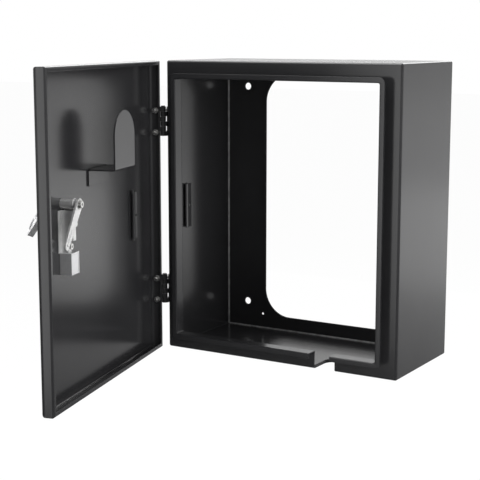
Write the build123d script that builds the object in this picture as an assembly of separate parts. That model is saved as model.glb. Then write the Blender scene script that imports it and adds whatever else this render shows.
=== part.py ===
from build123d import *
import math
import os

# Wall cabinet for a vehicle charger: a folded steel box with a hinged door.
# Frame in millimetres: +X to the right, +Y into the wall, +Z up. The origin is the
# centre of the four wall holes on the back face, so the box reaches from y = 0
# forward to y = -body_depth. The door stands open, as it is stored.

# Box
body_width = 350.0
body_height = 400.0
body_depth = 160.0
body_sheet = 1.5
body_bend = 3.0
ring_width = 24.0
opening_corner = 2.5
lip_length = 15.5
lip_fold = 7.0
lip_corner = 7.0

# Back panel, its cut-out and its wall holes
back_sheet = 1.5
cutout_width = 218.0
cutout_height = 356.0
cutout_corner = 40.0
wall_hole_radius = 5.0
wall_hole_spacing_x = 280.0
wall_hole_spacing_z = 320.0
drain_hole_radius = 1.8
drain_hole_x = 114.0
drain_hole_rise = 23.0

# Cable notch in the floor, the ring and the lip
notch_width = 30.0
notch_x = 72.0
notch_depth = 44.0
notch_upstand = 4.5

# Door tray
door_sheet = 1.5
door_depth = 17.0
door_bend = 5.5
door_flange = 6.0
door_gap = 3.0
open_angle = 76.0

# Hinges
hinge_height = 40.0
hinge_spacing = 234.0
hinge_offset = 5.0
hinge_leaf = 2.0
hinge_reach = 15.0
knuckle_count = 6
knuckle_radius = 4.0
knuckle_gap = 0.3
hinge_pin_radius = 2.0
hinge_pin_head = 1.0
hinge_pin_head_radius = 3.0
running_clearance = 0.05
hinge_screw_pitch = 30.0
hinge_screw_reach = 8.7

# Screws, washers and nuts of the hinges
screw_radius = 2.0
screw_hole_clearance = 0.25
screw_head_radius = 4.0
screw_head_height = 2.2
screw_head_round = 1.5
screw_stub = 2.0
washer_radius = 4.2
washer_thickness = 0.8
nut_flats = 7.0
nut_height = 3.2

# Cable hook on the inside of the door
hook_width = 62.5
hook_sheet = 2.0
hook_x = 4.5
hook_drop = 127.5
hook_tab = 21.0
hook_shelf = 37.0
hook_arch = 71.0
hook_bend = 3.0

# Folded strips on the hinge side, one on the door and one on the box
strip_height = 62.0
strip_z = -4.0
strip_sheet = 1.2
strip_flange = 9.0
strip_channel = 6.0
strip_rise = 5.5
strip_lift = 3.0
strip_edge = 1.6
strip_hole_x = 6.75
strip_hole_radius = 1.5
strip_pin_radius = 1.6
strip_pin_stub = 2.5
strip_ball_radius = 1.8
door_strip_x = -98.0
body_strip_y = -124.0

# Lock: outside plate, tube and key cylinder
lock_x = 110.0
spindle_z = 40.0
cylinder_z = -30.5
plate_width = 30.0
plate_top = 20.0
plate_bottom = 27.0
plate_thickness = 6.0
plate_edge = 2.0
gasket_thickness = 1.0
gasket_inset = 1.5
tube_radius = 5.0
tube_length = 11.5
tube_nut_radius = 6.3
nose_radius = 6.5
nose_height = 6.0
key_plug_radius = 5.0
key_slot_width = 1.4
key_slot_length = 7.0
key_slot_depth = 9.0
panel_hole_clearance = 0.5

# Lock: inside pieces
housing_width = 21.0
housing_depth = 15.0
housing_height = 26.0
housing_offset = -2.5
housing_edge = 1.0
bracket_sheet = 1.2
bracket_width = 8.8
bracket_depth = 16.0
bracket_step_depth = 10.0
bracket_step_z = -3.0
bracket_flange = 8.0
bracket_tube_gap = 0.7
clamp_screw_radius = 2.0
clamp_screw_head_radius = 3.6
clamp_screw_head_height = 2.4
clamp_socket_radius = 1.6
clamp_socket_depth = 1.2
clamp_screw_drop = 16.0
clamp_screw_thread = 4.5

# Lock: spindle, latch arm and handle
spindle_radius = 4.0
spindle_head_radius = 9.0
spindle_head_height = 3.0
spindle_head_gap = 0.3
spindle_tongue = 6.0
collar_radius = 7.0
collar_length = 5.2
collar_gap = 0.3
arm_thickness = 2.6
arm_catch_gap = 0.8
arm_length = 56.5
arm_boss_radius = 7.0
arm_tip_radius = 5.0
arm_rib_length = 22.0
arm_rib_width = 3.0
arm_rib_height = 0.8
arm_angle = 51.0
latch_washer_radius = 6.2
latch_washer_thickness = 0.8
latch_bolt_radius = 2.5
latch_bolt_thread = 9.0
latch_bolt_head_radius = 4.6
latch_bolt_head_height = 2.2
latch_bolt_head_round = 0.8
latch_socket_flats = 3.0
latch_socket_depth = 1.5
handle_length = 88.0
handle_width = 22.0
handle_thickness = 7.0
handle_edge = 1.6
handle_pin_radius = 2.0
handle_side_gap = 0.4
handle_head_gap = 0.4
handle_angle = 37.0
handle_hole_clearance = 1.0

# How far a cutting tool reaches past the piece that it cuts, and how near two places count as one
over = 1.0
near_enough = 1e-4

# Places that follow from the sizes above
left = -body_width / 2
right = body_width / 2
top = body_height / 2
bottom = -body_height / 2
ring_front = -body_depth
ring_back = ring_front + body_sheet
wall_front = ring_front + body_bend
lip_front = ring_front - lip_length
opening_half_width = body_width / 2 - ring_width
opening_half_height = body_height / 2 - ring_width
hook_shelf_z = top - hook_drop
rim_y = ring_front - door_gap
skin_outside = rim_y - door_depth
skin_inside = skin_outside + door_sheet
hinge_x = left - hinge_offset
hinge_y = ring_front - door_gap / 2
screw_hole_radius = screw_radius + screw_hole_clearance
plate_outer_face = skin_outside - gasket_thickness - plate_thickness
arm_back = ring_back + arm_catch_gap
arm_front = arm_back + arm_thickness
spindle_head_face = plate_outer_face - spindle_head_gap
handle_inner_face = spindle_head_face - spindle_head_height - handle_head_gap
handle_pivot_y = handle_inner_face - handle_thickness / 2
collar_start = skin_inside + tube_length + collar_gap
collar_end = collar_start + collar_length
bracket_top = spindle_z - tube_nut_radius - bracket_tube_gap
housing_x = lock_x + housing_offset


def block(x0, x1, y0, y1, z0, z1):
    """A box between two opposite corners."""
    size = Box(x1 - x0, y1 - y0, z1 - z0)
    return Pos((x0 + x1) / 2, (y0 + y1) / 2, (z0 + z1) / 2) * size


def rod_along_y(radius, x, z, y0, y1):
    """A round bar along Y from y0 to y1."""
    return Pos(x, (y0 + y1) / 2, z) * Rot(90, 0, 0) * Cylinder(radius, y1 - y0)


def rod_along_x(radius, y, z, x0, x1):
    """A round bar along X from x0 to x1."""
    return Pos((x0 + x1) / 2, y, z) * Rot(0, 90, 0) * Cylinder(radius, x1 - x0)


def bore_along_y(radius, x, z, y0, y1):
    """A cutter along Y that reaches past both y0 and y1."""
    return rod_along_y(radius, x, z, y0 - over, y1 + over)


def bore_along_x(radius, y, z, x0, x1):
    """A cutter along X that reaches past both x0 and x1."""
    return rod_along_x(radius, y, z, x0 - over, x1 + over)


def edges_at_y(solid, y):
    """The edges of a solid whose middles lie at one depth."""
    return [edge for edge in solid.edges() if abs(edge.center().Y - y) < near_enough]


def slab(half_width, half_height, corner, y0, y1):
    """A rounded rectangle in the X-Z plane, as thick as y0 to y1."""
    face = Plane.XZ.offset(-y0) * RectangleRounded(2 * half_width, 2 * half_height, corner)
    return extrude(face, y1 - y0, dir=(0, 1, 0))


def folded_box(x0, x1, y0, y1, z0, z1, radius, open_side):
    """A box with all bends rounded except round its open side, at the given y."""
    solid = block(x0, x1, y0, y1, z0, z1)
    bends = [edge for edge in solid.edges() if abs(edge.center().Y - open_side) > near_enough]
    return fillet(bends, radius)


def folded_tray(x0, x1, y0, y1, z0, z1, radius):
    """A shallow tray form: walls bent up from the sheet at y0, meeting in sharp mitred corners."""
    solid = block(x0, x1, y0, y1, z0, z1)
    skin_edges = edges_at_y(solid, y0)
    side_bends = [edge for edge in skin_edges if abs(edge.center().Z - (z0 + z1) / 2) < near_enough]
    end_bends = [edge for edge in skin_edges if abs(edge.center().X - (x0 + x1) / 2) < near_enough]
    return fillet(side_bends, radius) & fillet(end_bends, radius)


def turned(solid, pivot, turn):
    """A solid turned about a point."""
    x, y, z = pivot
    return Pos(x, y, z) * turn * Pos(-x, -y, -z) * solid


def swing(solid):
    """Turns a piece of the closed door about the hinge pins to its stored place."""
    return turned(solid, (hinge_x, hinge_y, 0), Rot(0, 0, -open_angle))


def turn_latch(solid):
    """Turns a piece of the locked spindle about its axis to its stored place."""
    return turned(solid, (lock_x, 0, spindle_z), Rot(0, arm_angle, 0))


def lift_handle(solid):
    """Tips the folded handle outwards about its pin."""
    return turned(solid, (lock_x, handle_pivot_y, spindle_z), Rot(-handle_angle, 0, 0))


def notch_outline(margin, z0, z1):
    """The cable notch as a solid slot with a round end, larger by the margin all round."""
    radius = notch_width / 2 + margin
    end_y = ring_front + notch_depth - notch_width / 2
    straight = block(notch_x - radius, notch_x + radius, lip_front - over, end_y, z0, z1)
    round_end = Pos(notch_x, end_y, (z0 + z1) / 2) * Cylinder(radius, z1 - z0)
    return straight + round_end


def sheet_box():
    """Side walls and front ring as one folded sheet, before it is parted behind the front bends."""
    outer = folded_box(left, right, ring_front, 0, bottom, top, body_bend, 0)
    cavity = folded_box(left + body_sheet, right - body_sheet, ring_back, over,
                        bottom + body_sheet, top - body_sheet, body_bend - body_sheet, over)
    opening = slab(opening_half_width, opening_half_height, opening_corner,
                   ring_front - over, ring_back + over)
    return outer - cavity - opening - notch_cut()


def notch_cut():
    """Cutter for the cable notch through the floor, the ring and the lip."""
    return notch_outline(0, bottom - over, bottom + ring_width + body_sheet)


def make_body_shell():
    """The four side walls, wrapped from one sheet."""
    walls = sheet_box() & block(left, right, wall_front, 0, bottom, top)
    return walls - hinge_screw_holes(left + body_sheet / 2, hinge_y + hinge_screw_reach, body_sheet)


def make_front_ring():
    """Front ring round the opening, with the bends that join it to the walls."""
    return sheet_box() & block(left, right, ring_front, wall_front, bottom, top)


def make_rain_lip():
    """Lip that stands out round the opening, with its edge folded outwards to shed rain."""
    lip = slab(opening_half_width + body_sheet, opening_half_height + body_sheet,
               opening_corner + body_sheet, lip_front, ring_front)
    lip += slab(opening_half_width + lip_fold, opening_half_height + lip_fold, lip_corner,
                lip_front, lip_front + body_sheet)
    lip -= slab(opening_half_width, opening_half_height, opening_corner,
                lip_front - over, ring_front + over)
    return lip - notch_cut()


def make_notch_rim():
    """Low upright strip on the floor round the cable notch."""
    z0 = bottom + body_sheet
    z1 = bottom + notch_upstand
    rim = notch_outline(body_sheet, z0, z1) - notch_outline(0, z0 - over, z1 + over)
    return rim & block(left, right, wall_front, 0, bottom, top)


def make_back_panel():
    """Back sheet welded inside the walls, with the large cut-out and the wall holes."""
    panel = slab(body_width / 2 - body_sheet, body_height / 2 - body_sheet,
                 body_bend - body_sheet, -back_sheet, 0)
    panel -= slab(cutout_width / 2, cutout_height / 2, cutout_corner, -back_sheet - over, over)
    for x in (-wall_hole_spacing_x / 2, wall_hole_spacing_x / 2):
        for z in (-wall_hole_spacing_z / 2, wall_hole_spacing_z / 2):
            panel -= bore_along_y(wall_hole_radius, x, z, -back_sheet, 0)
    for x in (-drain_hole_x, drain_hole_x):
        panel -= bore_along_y(drain_hole_radius, x, bottom + drain_hole_rise, -back_sheet, 0)
    return panel


def hinge_centres():
    return (-hinge_spacing / 2, hinge_spacing / 2)


def hinge_screw_places():
    """Heights of the screws of both hinges."""
    return [z + side * hinge_screw_pitch / 2 for z in hinge_centres() for side in (-1, 1)]


def hinge_screw_holes(x, y, depth):
    """Clearance holes through a side wall for the screws of both hinges."""
    holes = [rod_along_x(screw_hole_radius, y, z, x - depth, x + depth) for z in hinge_screw_places()]
    return Compound(children=holes)


def knuckle_spans(centre, first):
    """Heights of every second knuckle of one hinge, counted from the top."""
    length = (hinge_height - (knuckle_count - 1) * knuckle_gap) / knuckle_count
    pitch = length + knuckle_gap
    spans = []
    for index in range(first, knuckle_count, 2):
        z1 = centre + hinge_height / 2 - index * pitch
        spans.append((z1 - length, z1))
    return spans


def make_hinge_leaf(centre, first, side, bore_radius):
    """One leaf with its knuckles. Side is +1 on the box and -1 on the door."""
    plate_start = knuckle_radius + knuckle_gap
    near = hinge_y + side * plate_start
    far = hinge_y + side * hinge_reach
    x0 = left - hinge_leaf
    z0 = centre - hinge_height / 2
    z1 = centre + hinge_height / 2
    leaf = block(x0, left, min(near, far), max(near, far), z0, z1)
    leaf = fillet([edge for edge in edges_at_y(leaf, far) if edge.length < hinge_height / 2], hinge_leaf)
    for low, high in knuckle_spans(centre, first):
        strap = block(x0, left, min(hinge_y, near), max(hinge_y, near), low, high)
        barrel = Pos(hinge_x, hinge_y, (low + high) / 2) * Cylinder(knuckle_radius, high - low)
        leaf += strap + barrel
    leaf -= Pos(hinge_x, hinge_y, centre) * Cylinder(bore_radius, hinge_height + over)
    for z in (centre - hinge_screw_pitch / 2, centre + hinge_screw_pitch / 2):
        leaf -= bore_along_x(screw_hole_radius, hinge_y + side * hinge_screw_reach, z, x0, left)
    return leaf


def make_hinge_pin(centre):
    """Hinge pin with a rounded head on the top knuckle."""
    pin = Pos(hinge_x, hinge_y, centre) * Cylinder(hinge_pin_radius, hinge_height)
    head_z = centre + hinge_height / 2 + knuckle_gap + hinge_pin_head / 2
    neck_z = centre + hinge_height / 2 + knuckle_gap / 2
    pin += Pos(hinge_x, hinge_y, neck_z) * Cylinder(hinge_pin_radius, knuckle_gap)
    pin += Pos(hinge_x, hinge_y, head_z) * Cylinder(hinge_pin_head_radius, hinge_pin_head)
    return pin


def make_hinge_screws(y, wall_sheet):
    """Round-headed screws through a leaf and a side wall, as separate solids."""
    head_face = left - hinge_leaf
    end = left + wall_sheet + washer_thickness + nut_height + screw_stub
    screws = []
    for z in hinge_screw_places():
        shank = rod_along_x(screw_radius, y, z, head_face, end)
        head = rod_along_x(screw_head_radius, y, z, head_face - screw_head_height, head_face)
        rim = head.edges().group_by(Axis.X)[0]
        screws.append(fillet(rim, screw_head_round) + shank)
    return screws


def make_hinge_washers(y, wall_sheet):
    """Flat washers under the nuts, inside the wall."""
    start = left + wall_sheet
    washers = []
    for z in hinge_screw_places():
        disc = rod_along_x(washer_radius, y, z, start, start + washer_thickness)
        washers.append(disc - bore_along_x(screw_hole_radius, y, z, start, start + washer_thickness))
    return washers


def make_hinge_nuts(y, wall_sheet):
    """Hexagon nuts on the inside ends of the screws."""
    start = left + wall_sheet + washer_thickness
    corner_radius = nut_flats / math.sqrt(3)
    nuts = []
    for z in hinge_screw_places():
        face = Plane.YZ.offset(start) * Pos(y, z) * RegularPolygon(corner_radius, 6)
        nut = extrude(face, nut_height)
        nuts.append(nut - bore_along_x(screw_radius, y, z, start, start + nut_height))
    return nuts


def make_door_panel():
    """Door skin with its four folded sides and the return flange inside the rim."""
    outer = folded_tray(left, right, skin_outside, rim_y, bottom, top, door_bend)
    cavity = folded_tray(left + door_sheet, right - door_sheet, skin_inside, rim_y - door_sheet,
                         bottom + door_sheet, top - door_sheet, door_bend - door_sheet)
    mouth = block(left + door_flange, right - door_flange, rim_y - door_sheet - over, rim_y + over,
                  bottom + door_flange, top - door_flange)
    panel = outer - cavity - mouth
    panel = drill_for_lock(panel, skin_outside, skin_inside)
    return panel - hinge_screw_holes(left + door_sheet / 2, hinge_y - hinge_screw_reach, door_sheet)


def make_cable_hook():
    """One bent strip: a tab on the door skin, a shelf and an upright round-topped plate."""
    x0 = hook_x - hook_width / 2
    x1 = hook_x + hook_width / 2
    shelf_end = skin_inside + hook_shelf
    under = hook_shelf_z - hook_sheet
    # Side profile in the Y-Z plane, closed
    points = [
        (skin_inside, hook_shelf_z - hook_tab),
        (skin_inside, hook_shelf_z),
        (shelf_end - hook_sheet, hook_shelf_z),
        (shelf_end - hook_sheet, hook_shelf_z + hook_arch),
        (shelf_end, hook_shelf_z + hook_arch),
        (shelf_end, under),
        (skin_inside + hook_sheet, under),
        (skin_inside + hook_sheet, hook_shelf_z - hook_tab),
    ]
    outline = make_face(Plane.YZ * Polyline(*points, close=True))
    strip = Pos(x0, 0, 0) * extrude(outline, hook_width, dir=(1, 0, 0))
    outer_bends = [(skin_inside, hook_shelf_z), (shelf_end, under)]
    inner_bends = [(skin_inside + hook_sheet, under), (shelf_end - hook_sheet, hook_shelf_z)]
    strip = fillet(edges_along_x(strip, outer_bends), hook_bend)
    strip = fillet(edges_along_x(strip, inner_bends), hook_bend - hook_sheet)
    # The upright plate ends in a half circle as wide as the strip
    arch_radius = hook_width / 2
    arch_z = hook_shelf_z + hook_arch - arch_radius
    square_top = block(x0, x1, shelf_end - hook_sheet - over, shelf_end + over,
                       arch_z, arch_z + arch_radius + over)
    round_top = bore_along_y(arch_radius, hook_x, arch_z, shelf_end - hook_sheet, shelf_end)
    return strip - (square_top - round_top)


def edges_along_x(solid, places):
    """The edges of a solid that run along X through the given Y-Z places."""
    found = []
    for edge in solid.edges().filter_by(Axis.X):
        centre = edge.center()
        if any(math.hypot(centre.Y - y, centre.Z - z) < near_enough for y, z in places):
            found.append(edge)
    return found


def make_strip():
    """Folded strip standing on the plane y = 0: a lifted flange with a hole, and a hooked channel."""
    z0 = strip_z - strip_height / 2
    z1 = strip_z + strip_height / 2
    root = -strip_sheet
    outline = Polyline((root, 0), (0, 0), (strip_flange, strip_lift), (strip_flange, strip_lift + strip_sheet),
                       (0, strip_sheet), (root, strip_sheet), close=True)
    flange = Pos(0, 0, z0) * extrude(make_face(outline), z1 - z0)
    channel = block(-strip_channel, 0, 0, strip_rise, z0, z1)
    channel -= block(-strip_channel + strip_sheet, root, -over, strip_rise - strip_sheet, z0 - over, z1 + over)
    channel -= block(-strip_channel - over, root - over, -over, strip_rise - strip_edge, z0 - over, z1 + over)
    return flange + channel - bore_along_y(strip_hole_radius, strip_hole_x, strip_z, 0, strip_lift + strip_sheet)


def make_strip_pin():
    """Pin held in the channel of the door's strip, with a ball end above and a stub below."""
    x = -strip_channel / 2
    y = strip_rise - strip_sheet - strip_pin_radius
    z0 = strip_z - strip_height / 2 - strip_pin_stub
    z1 = strip_z + strip_height / 2 + strip_pin_stub
    pin = Pos(x, y, (z0 + z1) / 2) * Cylinder(strip_pin_radius, z1 - z0)
    return pin + Pos(x, y, z1) * Sphere(strip_ball_radius)


def on_door_skin(solid):
    """Moves a strip from the plane y = 0 to the door skin, flange towards the hinges."""
    return Pos(door_strip_x - strip_channel, skin_inside, 0) * mirror(solid, about=Plane.YZ)


def on_left_wall(solid):
    """Moves a strip from the plane y = 0 to the left wall, flange towards the back."""
    place = Pos(left + body_sheet, body_strip_y + strip_channel, 0)
    return place * Rot(0, 0, -90) * mirror(solid, about=Plane.YZ)


def drill_for_lock(sheet, y0, y1):
    """Clearance holes for the spindle tube, the cylinder's nose and the clamp screws."""
    sheet -= bore_along_y(tube_radius + panel_hole_clearance, lock_x, spindle_z, y0, y1)
    sheet -= bore_along_y(nose_radius + panel_hole_clearance, lock_x, cylinder_z, y0, y1)
    for z, _ in clamp_screw_places():
        sheet -= bore_along_y(clamp_screw_radius + panel_hole_clearance, lock_x, z, y0, y1)
    return sheet


def lock_plate_outline(inset, y0, y1):
    """The round-ended outline of the lock's outside plate."""
    z1 = spindle_z + plate_top - inset
    z0 = cylinder_z - plate_bottom + inset
    outline = Rot(0, 0, 90) * SlotOverall(z1 - z0, plate_width - 2 * inset)
    solid = extrude(Plane.XZ.offset(-y0) * outline, y1 - y0, dir=(0, 1, 0))
    return Pos(lock_x, 0, (z0 + z1) / 2) * solid


def make_lock_gasket():
    """Thin rubber sheet between the lock plate and the door skin."""
    y0 = skin_outside - gasket_thickness
    sheet = lock_plate_outline(gasket_inset, y0, skin_outside)
    return drill_for_lock(sheet, y0, skin_outside)


def make_lock_plate():
    """Cast plate outside the door with the spindle tube and the key cylinder's nose."""
    back = skin_outside - gasket_thickness
    plate = lock_plate_outline(0, plate_outer_face, back)
    plate = fillet(edges_at_y(plate, plate_outer_face), plate_edge)
    tube_end = skin_inside + tube_length
    nose_front = plate_outer_face - nose_height
    plate += rod_along_y(tube_radius, lock_x, spindle_z, back - over, tube_end)
    plate += rod_along_y(nose_radius, lock_x, cylinder_z, nose_front, skin_inside)
    plate -= bore_along_y(spindle_radius + running_clearance, lock_x, spindle_z, plate_outer_face, tube_end)
    plate -= bore_along_y(key_plug_radius + running_clearance, lock_x, cylinder_z, nose_front, skin_inside)
    for z, _ in clamp_screw_places():
        plate -= rod_along_y(clamp_screw_radius, lock_x, z, back - clamp_screw_thread, back + over)
    return plate


def make_tube_nut():
    """Long round nut on the spindle tube, tight against the door skin."""
    tube_end = skin_inside + tube_length
    nut = rod_along_y(tube_nut_radius, lock_x, spindle_z, skin_inside, tube_end)
    return nut - bore_along_y(tube_radius, lock_x, spindle_z, skin_inside, tube_end)


def clamp_screw_places():
    """Height of each clamp screw and the depth of the bracket face that it holds."""
    lower_z = (bracket_step_z + housing_top()) / 2
    return [(bracket_top - clamp_screw_drop, bracket_depth), (lower_z, bracket_step_depth)]


def housing_top():
    return cylinder_z + housing_height / 2


def bracket_hat(depth, z0, z1):
    """A length of hat-shaped strip: a channel with a foot on each side."""
    half = bracket_width / 2
    hat = block(lock_x - half, lock_x + half, skin_inside, skin_inside + depth, z0, z1)
    hat -= block(lock_x - half + bracket_sheet, lock_x + half - bracket_sheet,
                 skin_inside - over, skin_inside + depth - bracket_sheet, z0 - over, z1 + over)
    hat += block(lock_x - half - bracket_flange, lock_x - half + bracket_sheet,
                 skin_inside, skin_inside + bracket_sheet, z0, z1)
    hat += block(lock_x + half - bracket_sheet, lock_x + half + bracket_flange,
                 skin_inside, skin_inside + bracket_sheet, z0, z1)
    return hat


def make_clamp_bracket():
    """Hat-shaped bracket that clamps the lock plate, deep above and shallow below."""
    half = bracket_width / 2
    bracket = bracket_hat(bracket_depth, bracket_step_z, bracket_top)
    bracket += bracket_hat(bracket_step_depth, housing_top(), bracket_step_z)
    bracket += block(lock_x - half, lock_x + half, skin_inside + bracket_step_depth - bracket_sheet,
                     skin_inside + bracket_depth, bracket_step_z, bracket_step_z + bracket_sheet)
    hole_radius = clamp_screw_radius + screw_hole_clearance
    for z, depth in clamp_screw_places():
        face = skin_inside + depth
        bracket -= bore_along_y(hole_radius, lock_x, z, face - bracket_sheet, face)
    return bracket


def make_clamp_screws():
    """Cylinder-head screws through the bracket into the lock plate."""
    screws = []
    for z, depth in clamp_screw_places():
        seat = skin_inside + depth
        shank_end = skin_outside - gasket_thickness - clamp_screw_thread
        head = rod_along_y(clamp_screw_head_radius, lock_x, z, seat, seat + clamp_screw_head_height)
        head_end = seat + clamp_screw_head_height
        socket = rod_along_y(clamp_socket_radius, lock_x, z, head_end - clamp_socket_depth, head_end + over)
        screws.append(head + rod_along_y(clamp_screw_radius, lock_x, z, shank_end, seat) - socket)
    return screws


def make_cylinder_housing():
    """Square cast cover over the key cylinder's inner end."""
    half = housing_width / 2
    cover = folded_box(housing_x - half, housing_x + half, skin_inside, skin_inside + housing_depth,
                       cylinder_z - housing_height / 2, housing_top(), housing_edge, skin_inside)
    bore_radius = key_plug_radius + panel_hole_clearance
    return cover - rod_along_y(bore_radius, lock_x, cylinder_z, skin_inside - over, housing_bore_end())


def housing_bore_end():
    """Depth that the cover's blind bore reaches."""
    return skin_inside + housing_depth - 2 * housing_edge


def make_key_plug():
    """Turning plug of the key cylinder, with its key slot at the outside end."""
    front = plate_outer_face - nose_height
    back = housing_bore_end() - panel_hole_clearance
    plug = rod_along_y(key_plug_radius, lock_x, cylinder_z, front, back)
    slot = block(lock_x - key_slot_width / 2, lock_x + key_slot_width / 2,
                 front - over, front + key_slot_depth,
                 cylinder_z - key_slot_length / 2, cylinder_z + key_slot_length / 2)
    return plug - slot


def make_spindle():
    """Handle spindle: a head with a tongue outside, a round shank and a tapped end inside."""
    spindle = rod_along_y(spindle_head_radius, lock_x, spindle_z,
                          spindle_head_face - spindle_head_height, spindle_head_face)
    tongue_start = lock_x - spindle_tongue / 2
    tongue_end = lock_x + spindle_tongue / 2
    knuckle = handle_thickness / 2
    spindle += block(tongue_start, tongue_end, handle_pivot_y, spindle_head_face,
                     spindle_z - knuckle, spindle_z + knuckle)
    spindle += rod_along_x(knuckle, handle_pivot_y, spindle_z, tongue_start, tongue_end)
    spindle += rod_along_y(spindle_radius, lock_x, spindle_z, spindle_head_face, arm_front)
    spindle -= bore_along_x(handle_pin_radius, handle_pivot_y, spindle_z, tongue_start, tongue_end)
    thread_end = arm_front - latch_bolt_thread
    return spindle - rod_along_y(latch_bolt_radius, lock_x, spindle_z, thread_end, arm_front + over)


def make_stop_collar():
    """Collar on the spindle just behind the tube."""
    collar = rod_along_y(collar_radius, lock_x, spindle_z, collar_start, collar_end)
    return collar - bore_along_y(spindle_radius, lock_x, spindle_z, collar_start, collar_end)


def make_spacer():
    """Spacer between the collar and the latch arm."""
    sleeve = rod_along_y(latch_washer_radius, lock_x, spindle_z, collar_end, arm_back)
    return sleeve - bore_along_y(spindle_radius, lock_x, spindle_z, collar_end, arm_back)


def tapered_bar(radius_a, radius_b, length, y0, y1):
    """A flat bar with round ends of two radii, from the spindle axis along +X."""
    lean = math.acos((radius_a - radius_b) / length)
    along = math.cos(lean)
    across = math.sin(lean)
    points = [
        (radius_a * along, radius_a * across),
        (length + radius_b * along, radius_b * across),
        (length + radius_b * along, -radius_b * across),
        (radius_a * along, -radius_a * across),
    ]
    web = make_face(Plane.XZ.offset(-y0) * Polyline(*points, close=True))
    bar = Pos(lock_x, 0, spindle_z) * extrude(web, y1 - y0, dir=(0, 1, 0))
    bar += rod_along_y(radius_a, lock_x, spindle_z, y0, y1)
    return bar + rod_along_y(radius_b, lock_x + length, spindle_z, y0, y1)


def make_latch_arm():
    """Latch arm, pointing to the free edge when locked, with a pressed rib near its tip."""
    arm = tapered_bar(arm_boss_radius, arm_tip_radius, arm_length, arm_back, arm_front)
    arm -= bore_along_y(spindle_radius, lock_x, spindle_z, arm_back, arm_front)
    rib_x = lock_x + arm_length - arm_rib_length / 2
    outline = Plane.XZ.offset(-arm_front) * SlotOverall(arm_rib_length, arm_rib_width)
    return arm + Pos(rib_x, 0, spindle_z) * extrude(outline, arm_rib_height, dir=(0, 1, 0))


def make_latch_washer():
    """Washer under the latch bolt's head."""
    end = arm_front + latch_washer_thickness
    disc = rod_along_y(latch_washer_radius, lock_x, spindle_z, arm_front, end)
    return disc - bore_along_y(latch_bolt_radius, lock_x, spindle_z, arm_front, end)


def make_latch_bolt():
    """Socket-head bolt that holds the latch arm on the spindle."""
    seat = arm_front + latch_washer_thickness
    tip = arm_front - latch_bolt_thread
    head_end = seat + latch_bolt_head_height
    bolt = rod_along_y(latch_bolt_head_radius, lock_x, spindle_z, seat, head_end)
    bolt = fillet(edges_at_y(bolt, head_end), latch_bolt_head_round)
    bolt += rod_along_y(latch_bolt_radius, lock_x, spindle_z, tip, seat)
    hexagon = RegularPolygon(latch_socket_flats / math.sqrt(3), 6)
    socket_floor = Plane.XZ.offset(latch_socket_depth - head_end)
    socket = extrude(socket_floor * hexagon, latch_socket_depth + over, dir=(0, 1, 0))
    return bolt - Pos(lock_x, 0, spindle_z) * socket


def make_handle():
    """Folded handle: a forked bar down to a round tip, with a hole over the cylinder's nose."""
    half = handle_width / 2
    y0 = handle_pivot_y - handle_thickness / 2
    y1 = handle_pivot_y + handle_thickness / 2
    z_tip = spindle_z - handle_length
    bar = block(lock_x - half, lock_x + half, y0, y1, z_tip + half, spindle_z)
    bar += rod_along_y(half, lock_x, z_tip + half, y0, y1)
    outline = [edge for edge in edges_at_y(bar, y0) + edges_at_y(bar, y1)
               if edge.center().Z < spindle_z - near_enough]
    bar = fillet(outline, handle_edge)
    bar += rod_along_x(handle_thickness / 2, handle_pivot_y, spindle_z, lock_x - half, lock_x + half)
    fork_half = spindle_tongue / 2 + handle_side_gap
    fork_end = spindle_z - spindle_head_radius - handle_side_gap
    bar -= block(lock_x - fork_half, lock_x + fork_half, y0 - over, y1 + over, fork_end, spindle_z + half)
    pin_hole = handle_pin_radius + running_clearance
    bar -= bore_along_x(pin_hole, handle_pivot_y, spindle_z, lock_x - half, lock_x + half)
    return bar - bore_along_y(nose_radius + handle_hole_clearance, lock_x, cylinder_z, y0, y1)


def make_handle_pin():
    """Pin through the spindle's tongue on which the handle tips."""
    half = handle_width / 2
    return rod_along_x(handle_pin_radius, handle_pivot_y, spindle_z, lock_x - half, lock_x + half)


def write(name, *solids):
    """Writes one named piece, or a group of like pieces, as its own file."""
    piece = solids[0] if len(solids) == 1 else Compound(children=list(solids))
    export_step(piece, os.path.join("parts", name + ".step"))


def write_hinges():
    """Both hinges with their pins, screws, washers and nuts."""
    for name, centre in zip(("lower", "upper"), hinge_centres()):
        write(name + "_hinge_body_leaf", make_hinge_leaf(centre, 1, 1, hinge_pin_radius))
        door_leaf = make_hinge_leaf(centre, 0, -1, hinge_pin_radius + running_clearance)
        write(name + "_hinge_door_leaf", swing(door_leaf))
        write(name + "_hinge_pin", make_hinge_pin(centre))
    body_y = hinge_y + hinge_screw_reach
    door_y = hinge_y - hinge_screw_reach
    write("body_hinge_screws", *make_hinge_screws(body_y, body_sheet))
    write("body_hinge_washers", *make_hinge_washers(body_y, body_sheet))
    write("body_hinge_nuts", *make_hinge_nuts(body_y, body_sheet))
    write("door_hinge_screws", *[swing(screw) for screw in make_hinge_screws(door_y, door_sheet)])
    write("door_hinge_washers", *[swing(washer) for washer in make_hinge_washers(door_y, door_sheet)])
    write("door_hinge_nuts", *[swing(nut) for nut in make_hinge_nuts(door_y, door_sheet)])


def write_box():
    """The fixed box with its strip."""
    write("body_shell", make_body_shell())
    write("front_ring", make_front_ring())
    write("rain_lip", make_rain_lip())
    write("notch_rim", make_notch_rim())
    write("back_panel", make_back_panel())
    write("body_strip", on_left_wall(make_strip()))


def write_door():
    """The door tray and what is fixed to its inside."""
    write("door_panel", swing(make_door_panel()))
    write("cable_hook", swing(make_cable_hook()))
    write("door_strip", swing(on_door_skin(make_strip())))
    write("door_strip_pin", swing(on_door_skin(make_strip_pin())))


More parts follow.
